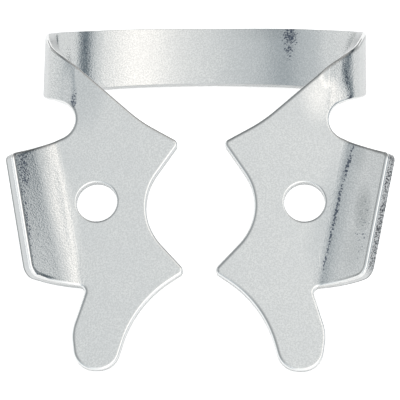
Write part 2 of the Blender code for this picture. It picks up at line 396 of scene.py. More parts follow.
# Short forms for adding and linking nodes
class Wiring:
    def __init__(self, tree):
        self.tree = tree

    def feed(self, socket, value):
        if isinstance(value, bpy.types.NodeSocket):
            self.tree.links.new(value, socket)
        elif value is not None:
            socket.default_value = value

    def node(self, kind, inputs=None, **settings):
        made = self.tree.nodes.new(kind)
        for name, value in settings.items():
            setattr(made, name, value)
        for key, value in (inputs or {}).items():
            self.feed(made.inputs[key], value)
        return made

    def calc(self, operation, *values):
        made = self.node("ShaderNodeMath", operation=operation)
        for i, value in enumerate(values):
            self.feed(made.inputs[i], value)
        return made.outputs[0]

    def vector(self, operation, *values):
        made = self.node("ShaderNodeVectorMath", operation=operation)
        slots = [made.inputs[0], made.inputs["Scale"]] if operation == "SCALE" else made.inputs
        for socket, value in zip(slots, values):
            self.feed(socket, value)
        scalar = operation in ("DOT_PRODUCT", "LENGTH", "DISTANCE")
        return made.outputs["Value" if scalar else "Vector"]

    def join(self, x, y, z):
        return self.node("ShaderNodeCombineXYZ", {0: x, 1: y, 2: z}).outputs[0]

    def split(self, value):
        return self.node("ShaderNodeSeparateXYZ", {0: value}).outputs

    def noise(self, given, sizeLabel, detail):
        scale = self.calc("DIVIDE", 1.0 / mm, given[sizeLabel])
        inputs = {"Vector": given["Coordinates"], "Scale": scale, "Detail": detail}
        return self.node("ShaderNodeTexNoise", inputs).outputs[0]

    def without(self, value, taken):
        return self.calc("MULTIPLY", value, self.calc("SUBTRACT", 1.0, taken))

    def stored(self, name, kind="FLOAT"):
        return self.node("GeometryNodeInputNamedAttribute", {"Name": name}, data_type=kind).outputs[0]

    def store(self, shape, name, value, kind="FLOAT", chosen=None):
        inputs = {"Geometry": shape, "Selection": chosen, "Name": name, "Value": value}
        return self.node("GeometryNodeStoreNamedAttribute", inputs, data_type=kind).outputs[0]


def newGroup(name, kind, inputs, outputs):
    tree = bpy.data.node_groups.new(name, kind)
    for label, socket, value in inputs:
        made = tree.interface.new_socket(label, in_out="INPUT", socket_type=socket)
        if value is not None:
            made.default_value = value
    for label, socket in outputs:
        tree.interface.new_socket(label, in_out="OUTPUT", socket_type=socket)
    entry = tree.nodes.new("NodeGroupInput")
    leave = tree.nodes.new("NodeGroupOutput")
    return tree, Wiring(tree), entry.outputs, leave.inputs


# Bends whatever lies beyond a straight line of the sheet, and turns its shading directions with it
def bendGroup():
    tree, wire, given, result = newGroup(
        "bendSheet",
        "GeometryNodeTree",
        [
            ("Geometry", "NodeSocketGeometry", None),
            ("Zone", "NodeSocketBool", True),
            ("Line", "NodeSocketVector", None),
            ("Lean", "NodeSocketFloat", 0.0),
            ("Radius", "NodeSocketFloat", 1.0),
            ("Angle", "NodeSocketFloat", 0.0),
            ("Side", "NodeSocketFloat", 1.0),
            ("Strain", "NodeSocketFloat", 1.0),
            ("Shade gain", "NodeSocketFloat", 1.0),
            ("Shade limit", "NodeSocketFloat", math.pi),
        ],
        [("Geometry", "NodeSocketGeometry")],
    )
    radius = given["Radius"]
    side = given["Side"]
    line = given["Line"]
    flat = wire.stored("flat", "FLOAT_VECTOR")
    shade = wire.stored("shade", "FLOAT_VECTOR")
    place = wire.node("GeometryNodeInputPosition").outputs[0]
    leanSin = wire.calc("SINE", given["Lean"])
    leanCos = wire.calc("COSINE", given["Lean"])
    along = wire.join(leanSin, leanCos, 0.0)
    out = wire.join(leanCos, wire.calc("MULTIPLY", leanSin, -1.0), 0.0)
    distance = wire.vector("DOT_PRODUCT", wire.vector("SUBTRACT", flat, line), out)
    length = wire.calc("MULTIPLY", radius, given["Angle"])
    begun = wire.calc("MAXIMUM", wire.calc("DIVIDE", distance, radius), 0.0)
    turn = wire.calc("MINIMUM", begun, given["Angle"])
    sin = wire.calc("SINE", turn)
    cos = wire.calc("COSINE", turn)
    offset = wire.vector("SUBTRACT", place, line)
    beyond = wire.calc("GREATER_THAN", distance, length)
    over = wire.calc("SUBTRACT", wire.vector("DOT_PRODUCT", offset, out), length)
    past = wire.calc("MULTIPLY", over, beyond)
    reach = wire.calc("SUBTRACT", radius, wire.calc("MULTIPLY", side, wire.split(place)["Z"]))
    run = wire.calc("ADD", wire.calc("MULTIPLY", reach, sin), wire.calc("MULTIPLY", past, cos))
    drop = wire.calc("SUBTRACT", radius, wire.calc("MULTIPLY", reach, cos))
    rise = wire.calc("ADD", drop, wire.calc("MULTIPLY", past, sin))
    kept = wire.vector("SCALE", along, wire.vector("DOT_PRODUCT", offset, along))
    moved = wire.vector("ADD", wire.vector("ADD", line, kept), wire.vector("SCALE", out, run))
    moved = wire.vector("ADD", moved, wire.join(0.0, 0.0, wire.calc("MULTIPLY", side, rise)))
    shadeOut = wire.vector("DOT_PRODUCT", shade, out)
    shadeUp = wire.split(shade)["Z"]
    shadeTurn = wire.calc("MINIMUM", wire.calc("MULTIPLY", turn, given["Shade gain"]), given["Shade limit"])
    shadeCos = wire.calc("COSINE", shadeTurn)
    sideSin = wire.calc("MULTIPLY", side, wire.calc("SINE", shadeTurn))
    keptOut = wire.calc("MULTIPLY", shadeCos, shadeOut)
    newOut = wire.calc("SUBTRACT", keptOut, wire.calc("MULTIPLY", sideSin, shadeUp))
    keptUp = wire.calc("MULTIPLY", shadeCos, shadeUp)
    newUp = wire.calc("ADD", wire.calc("MULTIPLY", sideSin, shadeOut), keptUp)
    shadeAlong = wire.vector("SCALE", along, wire.vector("DOT_PRODUCT", shade, along))
    turned = wire.vector("ADD", shadeAlong, wire.vector("SCALE", out, newOut))
    turned = wire.vector("ADD", turned, wire.join(0.0, 0.0, newUp))
    curved = wire.calc("MULTIPLY", wire.calc("LESS_THAN", distance, length), given["Strain"])
    reached = wire.calc("GREATER_THAN", distance, 0.0)
    both = wire.node("FunctionNodeBooleanMath", {0: given["Zone"], 1: reached}, operation="AND")
    chosen = both.outputs[0]
    strain = wire.calc("MAXIMUM", wire.stored("strain"), curved)
    shape = wire.store(given["Geometry"], "strain", strain, chosen=chosen)
    shape = wire.store(shape, "shade", turned, "FLOAT_VECTOR", chosen)
    inputs = {"Geometry": shape, "Selection": chosen, "Position": moved}
    wire.feed(result["Geometry"], wire.node("GeometryNodeSetPosition", inputs).outputs[0])
    return tree


# How the folds shade: the radius in millimetres under which a bend counts as fully strained, degrees
# added to a bend's shading, and the most that the wing's curl is shaded by, at its front and rear end
foldLook = {
    "strainRadius": 4.0,
    "shadeShift": {"crown": -5.0, "shoulder": 5.0},
    "curlShade": (11.8, 18.2),
}

# What the group below is told of each fold
foldInputs = (
    ("line", "NodeSocketVector"),
    ("lean", "NodeSocketFloat"),
    ("radius", "NodeSocketFloat"),
    ("angle", "NodeSocketFloat"),
    ("shade gain", "NodeSocketFloat"),
)


# Folds the flat right half, mirrors it and joins both
def clampGroup(folds, material):
    bend = bendGroup()
    inputs = [("Geometry", "NodeSocketGeometry", None)]
    inputs += [(label, "NodeSocketFloat", 0.0) for label in ("bow start", "wing start", "merge")]
    for name in folds:
        inputs += [(f"{name} {label}", socket, None) for label, socket in foldInputs]
    outputs = [("Geometry", "NodeSocketGeometry")]
    tree, wire, given, result = newGroup("foldedClamp", "GeometryNodeTree", inputs, outputs)
    place = wire.node("GeometryNodeInputPosition").outputs[0]
    shape = wire.store(given["Geometry"], "flat", place, "FLOAT_VECTOR")
    flat = wire.stored("flat", "FLOAT_VECTOR")
    height = wire.split(flat)["Y"]
    inBow = wire.calc("GREATER_THAN", height, given["bow start"])
    belowBow = wire.calc("LESS_THAN", height, given["bow start"])
    inWing = wire.calc("MULTIPLY", belowBow, wire.calc("GREATER_THAN", height, given["wing start"]))
    wall = wire.stored("wall")
    first, last = wallMarks["onEdge"]
    pastFace = wire.calc("GREATER_THAN", wall, first)
    onEdge = wire.calc("MULTIPLY", pastFace, wire.calc("LESS_THAN", wall, last))
    wingShare = wire.node(
        "ShaderNodeMapRange",
        {
            "Value": height,
            "From Min": given["wing start"],
            "From Max": given["bow start"],
            "To Min": math.radians(foldLook["curlShade"][0]),
            "To Max": math.radians(foldLook["curlShade"][1]),
        },
    ).outputs[0]
    curlLimit = wire.calc("ADD", wingShare, wire.calc("MULTIPLY", onEdge, math.pi))
    for name, fold in folds.items():
        tightness = wire.calc("DIVIDE", foldLook["strainRadius"], given[f"{name} radius"])
        step = wire.node(
            "GeometryNodeGroup",
            {
                "Geometry": shape,
                "Zone": inWing if fold.side > 0.0 else inBow,
                "Line": given[f"{name} line"],
                "Lean": given[f"{name} lean"],
                "Radius": given[f"{name} radius"],
                "Angle": given[f"{name} angle"],
                "Side": fold.side,
                "Strain": wire.calc("MINIMUM", tightness, 1.0),
                "Shade gain": given[f"{name} shade gain"],
                "Shade limit": curlLimit if name == "curl" else None,
            },
            node_tree=bend,
        )
        shape = step.outputs[0]
    halves = []
    for side in (1.0, -1.0):
        half = shape
        if side < 0.0:
            mirrored = wire.node("GeometryNodeTransform", {"Geometry": half, "Scale": (-1.0, 1.0, 1.0)})
            half = wire.node("GeometryNodeFlipFaces", {"Mesh": mirrored.outputs[0]}).outputs[0]
        flipped = wire.vector("MULTIPLY", wire.stored("shade", "FLOAT_VECTOR"), (side, 1.0, 1.0))
        half = wire.store(half, "shade", flipped, "FLOAT_VECTOR")
        halves.append(wire.store(half, "side", side))
    joined = wire.node("GeometryNodeJoinGeometry")
    for half in halves:
        wire.tree.links.new(half, joined.inputs[0])
    inputs = {"Geometry": joined.outputs[0], "Distance": given["merge"]}
    merged = wire.node("GeometryNodeMergeByDistance", inputs)
    real = wire.node("GeometryNodeRealizeInstances", {"Geometry": merged.outputs[0]})
    finished = wire.node("GeometryNodeSetMaterial", {"Geometry": real.outputs[0], "Material": material})
    wire.feed(result["Geometry"], finished.outputs[0])
    return tree


def setInputs(modifier, values):
    for item in modifier.node_group.interface.items_tree:
        if item.item_type == "SOCKET" and item.in_out == "INPUT" and item.name in values:
            modifier[item.identifier] = values[item.name]


# The resting clamp's tilt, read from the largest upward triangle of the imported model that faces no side
def restTurn(node):
    upward = [face for face in node.data.polygons if face.normal.z > 0.0]
    level = [face for face in upward if abs(face.normal.x) < fineness["level"]]
    largest = max(level, key=lambda face: face.area)
    slope = math.atan2(-largest.normal.y, largest.normal.z)
    return Matrix.Rotation(slope, 4, "X")


# Turns the folded mesh to its rest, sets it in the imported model's box and fixes its normals
def layDown(mesh):
    turn = restTurn(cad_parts["clamp"])
    mesh.transform(turn @ Matrix.Scale(mm, 4))
    low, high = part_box("clamp")
    bottom = min(vert.co.z for vert in mesh.vertices)
    front = min(vert.co.y for vert in mesh.vertices)
    back = max(vert.co.y for vert in mesh.vertices)
    shift = Matrix.Translation((0.0, (low.y + high.y) / 2.0 - (front + back) / 2.0, low.z - bottom))
    mesh.transform(shift)
    shades = [(turn.to_3x3() @ Vector(item.vector)).normalized() for item in mesh.attributes["shade"].data]
    mesh.shade_smooth()
    mesh.normals_split_custom_set_from_vertices(shades)
    mesh.attributes.remove(mesh.attributes["shade"])
    return shift @ turn


def buildClamp(material):
    folds = sheetFolds()
    shape = flatSheet(folds)
    cutSheet(shape, folds)
    mesh = bpy.data.meshes.new("flatSheet")
    shape.to_mesh(mesh)
    shape.free()
    source = bpy.data.objects.new("clampSheet", mesh)
    bpy.context.scene.collection.objects.link(source)
    modifier = source.modifiers.new("folds", "NODES")
    modifier.node_group = clampGroup(folds, material)
    values = {
        "bow start": folds["neck"].point.y,
        "wing start": folds["root"].point.y,
        "merge": fineness["weld"],
    }
    for name, fold in folds.items():
        values[f"{name} line"] = fold.point
        values[f"{name} lean"] = fold.lean
        values[f"{name} radius"] = fold.radius
        values[f"{name} angle"] = fold.angle
        shift = math.radians(foldLook["shadeShift"].get(name, 0.0))
        values[f"{name} shade gain"] = 1.0 + shift / fold.angle
    setInputs(modifier, values)
    bpy.context.view_layer.update()
    folded = bpy.data.meshes.new_from_object(source.evaluated_get(bpy.context.evaluated_depsgraph_get()))
    source.modifiers.clear()
    source.data = folded
    lay = layDown(folded)
    print("clamp folded", len(folded.polygons), "faces")
    return source, lay


# The steel's looks, with sizes in millimetres. Ranges are the limits between which a mask rises, those of
# the edge as wall marks. The speckles, patches, torn and shaded stretches and presses are ovals on the flat
# sheet: middle and half sizes, slant in X for each Y, strength or tilt in degrees, side 1 right and -1
# left, face 1 gum side and -1 bow side. The speckles are painted shade and painted reflections: dark dots
# along the fold creases and where the bends reflect dark. The torn stretch has near-black dots painted in
# as reflections, and the shaded stretches get a dark line painted as shade along the rim
steelLook = {
    "colour": (0.718, 0.729, 0.72),
    "cloudColour": (0.695, 0.707, 0.704),
    "burnishColour": (0.945, 0.948, 0.94),
    # Colours of the broken zone: near-black dots painted in as reflections where the edge is torn, and its
    # own grey
    "fracturePaintedDark": (0.05, 0.055, 0.07),
    "fractureLight": (0.72, 0.73, 0.73),
    # Colour of the burr line, and of the dark line painted as shade along the rim
    "burrAndEdgeShadeColour": (0.36, 0.37, 0.37),
    # Painted shade: how dark the rim line gets, and which way an edge must face to get it
    "edgeShadeShare": 0.85,
    "shadedEdgeLean": (-0.85, 0.55),
    "shadedEdgeRange": (-0.1, 0.5),
    "bowBrushed": 0.8,
    "bowFrom": (5.5, 7.0),
    "roughness": 0.1,
    "burnishRoughness": 0.07,
    "fractureRoughness": 0.32,
    "grainSize": 0.11,
    "grainDepth": 0.008,
    "grainRange": (0.36, 0.62),
    "peelSize": 0.11,
    "peelDepth": 0.012,
    "cloudScale": 0.6,
    "cloudRange": (0.35, 0.65),
    "breakSize": 0.1,
    "breakDepth": 0.04,
    "breakShare": 0.25,
    "toneColour": (0.615, 0.628, 0.624),
    "toneShare": 0.95,
    "strainShare": 0.08,
    # Colour of the painted shade and reflection speckles, and of the grain where bends strain the sheet
    "shadeSpeckleAndGrainColour": (0.13, 0.15, 0.19),
    "speckleSize": 0.13,
    "speckleGain": 0.4,
    "speckleRange": (0.77, 0.88),
    "mottleGain": 3.6,
    "mottleLoss": 0.8,
    "tornPaintedDarkFade": 0.6,
    "shadedEdgeFade": 0.4,
    "pressPower": 1.5,
    "darkPatchColour": (0.4, 0.42, 0.42),
    "rolledRange": (0.3, 0.6),
    "brokenRange": (1.16, 1.26),
    "brokenEndRange": (2.2, 2.9),
    "brokenSwing": 0.3,
    "gritRange": (0.38, 0.58),
    "burrRange": (1.8, 1.9),
    "burrEndRange": (2.5, 3.0),
    "creaseRange": (0.05, 0.25),
    "creaseEndRange": (0.35, 0.6),
    # Painted shade and painted reflections: dark speckles along fold creases and where the bends reflect
    # dark
    "shadeSpeckles": (
        {"middle": (22.9, 16.9), "size": (0.95, 3.6), "strength": 1.0, "side": 1, "face": -1},
        {"middle": (18.45, 15.2), "size": (0.75, 2.8), "slant": -0.55,
         "strength": 0.55, "side": -1, "face": -1},
        {"middle": (13.1, 2.0), "size": (0.95, 3.6), "slant": 0.1, "strength": 0.82, "side": -1, "face": 1},
        {"middle": (10.15, 8.8), "size": (0.3, 2.4), "slant": -0.15,
         "strength": 0.75, "side": 1, "face": 1},
        {"middle": (10.4, 7.7), "size": (0.28, 0.7), "slant": -0.15, "strength": 1.1, "side": 1, "face": 1},
        {"middle": (9.6, -0.8), "size": (0.28, 6.0), "slant": 0.22, "strength": 0.9, "side": 1, "face": 1},
        {"middle": (10.55, 2.9), "size": (0.28, 2.4), "slant": 0.3, "strength": 0.95, "side": 1, "face": 1},
        {"middle": (8.75, -4.4), "size": (0.22, 1.5), "slant": 0.22, "strength": 0.8, "side": 1, "face": 1},
        {"middle": (9.05, 7.3), "size": (0.3, 1.5), "strength": 0.9, "side": -1, "face": 1},
        {"middle": (12.85, -1.6), "size": (0.34, 4.6), "slant": 0.19,
         "strength": 0.78, "side": -1, "face": 1},
        {"middle": (12.2, -2.2), "size": (1.3, 4.4), "slant": 0.19, "strength": 0.4, "side": -1, "face": 1},
        {"middle": (12.0, -2.8), "size": (1.3, 3.2), "slant": 0.19, "strength": 0.5, "side": 1, "face": 1},
    ),
    # A torn stretch: deeper pits, no burr line, and near-black dots painted in as reflections
    "tornPaintedDark": (
        {"middle": (13.7, -1.4), "size": (1.6, 5.2), "slant": 0.19, "strength": 1.0, "side": 1},
    ),
    # Painted shade: stretches whose rim gets the dark line whichever way they face
    "shadedEdgeStretches": (
        {"middle": (12.4, -1.5), "size": (3.4, 5.6), "slant": 0.19, "strength": 1.0, "side": 1},
        {"middle": (12.4, -1.5), "size": (3.4, 5.6), "slant": 0.19, "strength": 1.0, "side": -1},
    ),
    # Darker mottled patches
    "darkPatches": (
        {"middle": (11.9, -1.0), "size": (0.95, 2.1), "strength": 0.75, "side": 1, "face": 1},
        {"middle": (11.4, 3.0), "size": (0.7, 1.0), "strength": 0.25, "side": 1, "face": 1},
        {"middle": (11.3, -3.6), "size": (1.3, 2.2), "slant": 0.19, "strength": 0.25, "side": 1, "face": 1},
        {"middle": (24.5, 16.9), "size": (3.4, 1.2), "strength": 0.3, "side": 1, "face": -1},
    ),
    "presses": (
        {"middle": (8.9, 9.8), "size": (0.75, 1.7), "tilt": 23.0, "side": 1},
        {"middle": (9.8, 9.8), "size": (0.8, 1.9), "tilt": 8.0, "side": 1},
        {"middle": (8.3, 7.8), "size": (1.7, 2.6), "tilt": 10.0, "side": 1},
        {"middle": (10.3, 6.8), "size": (1.0, 2.5), "tilt": -8.0, "side": 1},
        {"middle": (8.8, -0.8), "size": (1.3, 5.5), "slant": 0.22, "tilt": -5.0, "side": 1},
        {"middle": (12.2, -0.6), "size": (0.8, 1.5), "tilt": -5.0, "side": 1},
        {"middle": (8.4, 8.6), "size": (2.0, 4.0), "tilt": 7.0, "side": -1},
        {"middle": (15.5, 13.2), "size": (1.7, 3.6), "tilt": 14.0, "side": -1, "face": -1},
        {"middle": (10.4, -0.4), "size": (0.8, 3.5), "slant": 0.22, "tilt": 3.0, "side": -1},
        {"middle": (9.35, 7.9), "size": (0.55, 2.6), "tilt": 13.0, "side": -1},
        {"middle": (9.3, -0.8), "size": (0.85, 5.2), "slant": 0.22, "tilt": -8.0, "side": -1},
    ),
}


def smooth(wire, value, low, high):
    made = wire.node(
        "ShaderNodeMapRange",
        {"Value": value, "From Min": low, "From Max": high, "To Min": 0.0, "To Max": 1.0},
        interpolation_type="SMOOTHSTEP",
    )
    return made.outputs[0]


# Fine grain of tumbled steel, deeper where a bend has stretched the sheet, and broad clouds of tone
def grainGroup():
    tree, wire, given, result = newGroup(
        "tumbledGrain",
        "ShaderNodeTree",
        [
            ("Coordinates", "NodeSocketVector", None),
            ("Grain size", "NodeSocketFloat", 0.12),
            ("Grain depth", "NodeSocketFloat", 0.005),
            ("Peel size", "NodeSocketFloat", 0.15),
            ("Peel depth", "NodeSocketFloat", 0.02),
            ("Strain", "NodeSocketFloat", 0.0),
        ],
        [("Height", "NodeSocketFloat"), ("Cloud", "NodeSocketFloat"), ("Tone", "NodeSocketFloat")],
    )
    layers = []
    for label, detail in (("Grain", 2.0), ("Peel", 1.0)):
        noise = wire.noise(given, f"{label} size", detail)
        if label == "Grain":
            wire.feed(result["Tone"], smooth(wire, noise, *steelLook["grainRange"]))
        layers.append(wire.calc("MULTIPLY", noise, given[f"{label} depth"]))
    peel = wire.calc("MULTIPLY", layers[1], given["Strain"])
    wire.feed(result["Height"], wire.calc("ADD", layers[0], peel))
    scale = steelLook["cloudScale"] / mm
    cloud = wire.node("ShaderNodeTexNoise", {"Vector": given["Coordinates"], "Scale": scale, "Detail": 3.0})
    wire.feed(result["Cloud"], smooth(wire, cloud.outputs[0], *steelLook["cloudRange"]))
    return tree


# The punched edge: a crease line, which carries the painted shade line, a burnished roll and upper wall,
# a rough broken zone and a burr line
def edgeGroup():
    tree, wire, given, result = newGroup(
        "punchedEdge",
        "ShaderNodeTree",
        [
            ("Wall", "NodeSocketFloat", 0.0),
            ("Coordinates", "NodeSocketVector", None),
            ("Break size", "NodeSocketFloat", 0.1),
            ("Break depth", "NodeSocketFloat", 0.02),
        ],
        [
            ("Burnish", "NodeSocketFloat"),
            ("Fracture", "NodeSocketFloat"),
            ("Grit", "NodeSocketFloat"),
            ("Burr", "NodeSocketFloat"),
            ("Crease", "NodeSocketFloat"),
            ("Height", "NodeSocketFloat"),
        ],
    )
    noise = wire.noise(given, "Break size", 3.0)
    wall = given["Wall"]
    swing = wire.calc("MULTIPLY", wire.calc("SUBTRACT", noise, 0.5), steelLook["brokenSwing"])
    begun = smooth(wire, wire.calc("ADD", wall, swing), *steelLook["brokenRange"])
    fracture = wire.without(begun, smooth(wire, wall, *steelLook["brokenEndRange"]))
    depth = wire.calc("MULTIPLY", noise, given["Break depth"])
    wire.feed(result["Burnish"], wire.without(smooth(wire, wall, *steelLook["rolledRange"]), begun))
    wire.feed(result["Fracture"], fracture)
    wire.feed(result["Grit"], smooth(wire, noise, *steelLook["gritRange"]))
    # The crease band is where the painted shade line goes
    for label, rise, fall in (
        ("Burr", steelLook["burrRange"], steelLook["burrEndRange"]),
        ("Crease", steelLook["creaseRange"], steelLook["creaseEndRange"]),
    ):
        wire.feed(result[label], wire.without(smooth(wire, wall, *rise), smooth(wire, wall, *fall)))
    wire.feed(result["Height"], wire.calc("MULTIPLY", depth, fracture))
    return tree


# How near a place of the flat sheet is to the middle of an oval mark, 1 in its middle and 0 outside it
def oval(wire, flat, side, mark):
    offset = wire.split(wire.vector("SUBTRACT", flat, (*mark["middle"], 0.0)))
    slanted = wire.calc("SUBTRACT", offset["X"], wire.calc("MULTIPLY", offset["Y"], mark.get("slant", 0.0)))
    spread = 0.0
    for place, size in ((slanted, mark["size"][0]), (offset["Y"], mark["size"][1])):
        spread = wire.calc("ADD", spread, wire.calc("POWER", wire.calc("DIVIDE", place, size), 2.0))
    near = wire.calc("MAXIMUM", wire.calc("SUBTRACT", 1.0, spread), 0.0)
    same = wire.calc("GREATER_THAN", wire.calc("MULTIPLY", side, float(mark["side"])), 0.0)
    near = wire.calc("MULTIPLY", near, same)
    if "face" in mark:
        facing = wire.calc("GREATER_THAN", wire.calc("MULTIPLY", offset["Z"], float(mark["face"])), 0.0)
        near = wire.calc("MULTIPLY", near, facing)
    return near


# Dark speckles painted as shade and as reflections, darker mottled patches, a torn stretch of edge with
# near-black dots painted in as reflections, and stretches whose rim gets a dark line painted as shade
def paintedMarkGroup():
    tree, wire, given, result = newGroup(
        "wearMarks",
        "ShaderNodeTree",
        [
            ("Flat", "NodeSocketVector", None),
            ("Side", "NodeSocketFloat", 1.0),
            ("Coordinates", "NodeSocketVector", None),
            ("Speckle size", "NodeSocketFloat", 0.1),
        ],
        [(label, "NodeSocketFloat") for label in ("Speckle", "Smudge", "Torn", "Creased")],
    )
    noise = wire.noise(given, "Speckle size", 2.0)
    totals = {}
    for kind in ("shadeSpeckles", "darkPatches", "tornPaintedDark", "shadedEdgeStretches"):
        total = 0.0
        for mark in steelLook[kind]:
            near = oval(wire, given["Flat"], given["Side"], mark)
            near = wire.calc("MULTIPLY", near, mark["strength"])
            total = wire.calc("MAXIMUM", total, near)
        totals[kind] = total
    # Painted shade and painted reflections: the speckles rise only where their ovals lift the noise
    dotted = wire.calc("ADD", noise, wire.calc("MULTIPLY", totals["shadeSpeckles"], steelLook["speckleGain"]))
    wire.feed(result["Speckle"], smooth(wire, dotted, *steelLook["speckleRange"]))
    wire.feed(result["Torn"], smooth(wire, totals["tornPaintedDark"], 0.0, steelLook["tornPaintedDarkFade"]))
    wire.feed(result["Creased"], smooth(wire, totals["shadedEdgeStretches"], 0.0, steelLook["shadedEdgeFade"]))
    grainy = wire.calc("MULTIPLY", noise, steelLook["mottleGain"])
    mottled = wire.calc("SUBTRACT", grainy, steelLook["mottleLoss"])
    darkPatch = wire.calc("MULTIPLY", totals["darkPatches"], mottled)
    wire.feed(result["Smudge"], wire.calc("MAXIMUM", wire.calc("MINIMUM", darkPatch, 1.0), 0.0))
    return tree


# Soft marks of the bending tool: each tips the surface outwards, or inwards where its tilt is below 0
def pressGroup(along):
    tree, wire, given, result = newGroup(
        "pressMarks",
        "ShaderNodeTree",
        [("Flat", "NodeSocketVector", None), ("Side", "NodeSocketFloat", 1.0)],
        [("Normal", "NodeSocketVector")],
    )
    total = 0.0
    for press in steelLook["presses"]:
        near = oval(wire, given["Flat"], given["Side"], press)
        near = wire.calc("POWER", near, steelLook["pressPower"])
        total = wire.calc("ADD", total, wire.calc("MULTIPLY", near, math.tan(math.radians(press["tilt"]))))
    normal = wire.node("ShaderNodeNewGeometry").outputs["Normal"]
    settings = {"vector_type": "VECTOR", "convert_from": "OBJECT", "convert_to": "WORLD"}
    turned = wire.node("ShaderNodeVectorTransform", {0: along}, **settings)
    outwards = wire.vector("CROSS_PRODUCT", turned.outputs[0], normal)
    tipped = wire.vector("SCALE", outwards, wire.calc("MULTIPLY", total, given["Side"]))
    wire.feed(result["Normal"], wire.vector("NORMALIZE", wire.vector("ADD", normal, tipped)))
    return tree


# Sockets 6 and 7 of a mix node are its two colours, and its output 2 is the mixed one. A plain colour
# has three parts and is given its fourth here
def mixColour(wire, factor, first, second, blend="MIX"):
    inputs = {0: factor}
    for socket, colour in ((6, first), (7, second)):
        inputs[socket] = (*colour, 1.0) if isinstance(colour, tuple) else colour
    return wire.node("ShaderNodeMix", inputs, data_type="RGBA", blend_type=blend).outputs[2]


def attribute(wire, name, output="Fac"):
    return wire.node("ShaderNodeAttribute", attribute_name=name).outputs[output]


def steelMaterial(along):
    look = steelLook
    material = bpy.data.materials.new("springSteel")
    material.use_nodes = True
    wire = Wiring(material.node_tree)
    shader = material.node_tree.nodes["Principled BSDF"]
    coords = wire.node("ShaderNodeTexCoord").outputs["Object"]
    flat = attribute(wire, "flat", "Vector")
    side = attribute(wire, "side")
    strain = attribute(wire, "strain")
    grain = wire.node(
        "ShaderNodeGroup",
        {
            "Coordinates": coords,
            "Grain size": look["grainSize"],
            "Grain depth": look["grainDepth"],
            "Peel size": look["peelSize"],
            "Peel depth": look["peelDepth"],
            "Strain": strain,
        },
        node_tree=grainGroup(),
    ).outputs
    rim = wire.node(
        "ShaderNodeGroup",
        {
            "Wall": attribute(wire, "wall"),
            "Coordinates": coords,
            "Break size": look["breakSize"],
            "Break depth": look["breakDepth"],
        },
        node_tree=edgeGroup(),
    ).outputs
    paintedMarks = wire.node(
        "ShaderNodeGroup",
        {
            "Flat": flat,
            "Side": side,
            "Coordinates": coords,
            "Speckle size": look["speckleSize"],
        },
        node_tree=paintedMarkGroup(),
    ).outputs
    tone = wire.calc("MULTIPLY", grain["Tone"], look["toneShare"])
    roughened = wire.calc("MULTIPLY", wire.calc("MULTIPLY", grain["Tone"], strain), look["strainShare"])
    colour = mixColour(wire, grain["Cloud"], look["colour"], look["cloudColour"])
    colour = mixColour(wire, tone, colour, look["toneColour"])
    colour = mixColour(wire, roughened, colour, look["shadeSpeckleAndGrainColour"])
    # Darker mottled patches at the listed places
    colour = mixColour(wire, paintedMarks["Smudge"], colour, look["darkPatchColour"])
    # Painted shade and painted reflections: dark speckles along fold creases and where the bends reflect
    # dark
    colour = mixColour(wire, paintedMarks["Speckle"], colour, look["shadeSpeckleAndGrainColour"])
    colour = mixColour(wire, rim["Burnish"], colour, look["burnishColour"])
    # Painted reflections: where the edge is torn, its broken zone gets near-black dots beside the real pits
    whole = wire.calc("SUBTRACT", 1.0, paintedMarks["Torn"])
    clean = wire.calc("MAXIMUM", rim["Grit"], whole)
    broken = mixColour(wire, clean, look["fracturePaintedDark"], look["fractureLight"])
    # Painted shade: a dark line along the rim of edges that face left and up, and of the listed stretches
    mirror = wire.join(side, 1.0, 0.0)
    outward = wire.vector("MULTIPLY", attribute(wire, "outward", "Vector"), mirror)
    lean = wire.vector("DOT_PRODUCT", outward, (*look["shadedEdgeLean"], 0.0))
    shadedEdgeSide = smooth(wire, lean, *look["shadedEdgeRange"])
    paintedEdgeShade = wire.calc("MULTIPLY", wire.calc("MAXIMUM", shadedEdgeSide, paintedMarks["Creased"]), rim["Crease"])
    colour = mixColour(wire, wire.calc("MULTIPLY", paintedEdgeShade, look["edgeShadeShare"]), colour, look["burrAndEdgeShadeColour"])
    colour = mixColour(wire, rim["Fracture"], colour, broken)
    onBow = smooth(wire, wire.split(flat)["Y"], *look["bowFrom"])
    brushed = wire.calc("MAXIMUM", paintedMarks["Torn"], wire.calc("MULTIPLY", onBow, look["bowBrushed"]))
    colour = mixColour(wire, wire.without(rim["Burr"], brushed), colour, look["burrAndEdgeShadeColour"])
    wire.feed(shader.inputs["Base Color"], colour)
    shader.inputs["Metallic"].default_value = 1.0
    shine = wire.calc("MULTIPLY", rim["Burnish"], look["burnishRoughness"] - look["roughness"])
    worn = wire.calc("MULTIPLY", rim["Fracture"], look["fractureRoughness"] - look["roughness"])
    roughness = wire.calc("ADD", wire.calc("ADD", shine, look["roughness"]), worn)
    wire.feed(shader.inputs["Roughness"], roughness)
    satin = wire.without(grain["Height"], rim["Burnish"])
    pits = wire.calc("MULTIPLY", rim["Height"], wire.calc("ADD", look["breakShare"], paintedMarks["Torn"]))
    height = wire.calc("ADD", satin, pits)
    pressed = wire.node(
        "ShaderNodeGroup",
        {"Flat": flat, "Side": side},
        node_tree=pressGroup(along),
    ).outputs[0]
    inputs = {"Height": height, "Distance": mm, "Strength": 1.0, "Normal": pressed}
    bump = wire.node("ShaderNodeBump", inputs)
    wire.feed(shader.inputs["Normal"], bump.outputs[0])
    return material


# Where the photograph was taken from, in degrees and millimetres from the middle between the holes
camera = {
    "tilt": 16.0,
    "yaw": 2.95,
    "distance": 160.0,
    "mmPerPixel": 0.07,
    "imageWidth": 400,
    "originPixel": (200.45, 202.9),
    "sensor": 36.0,
    "clip": (0.01, 5.0),
}


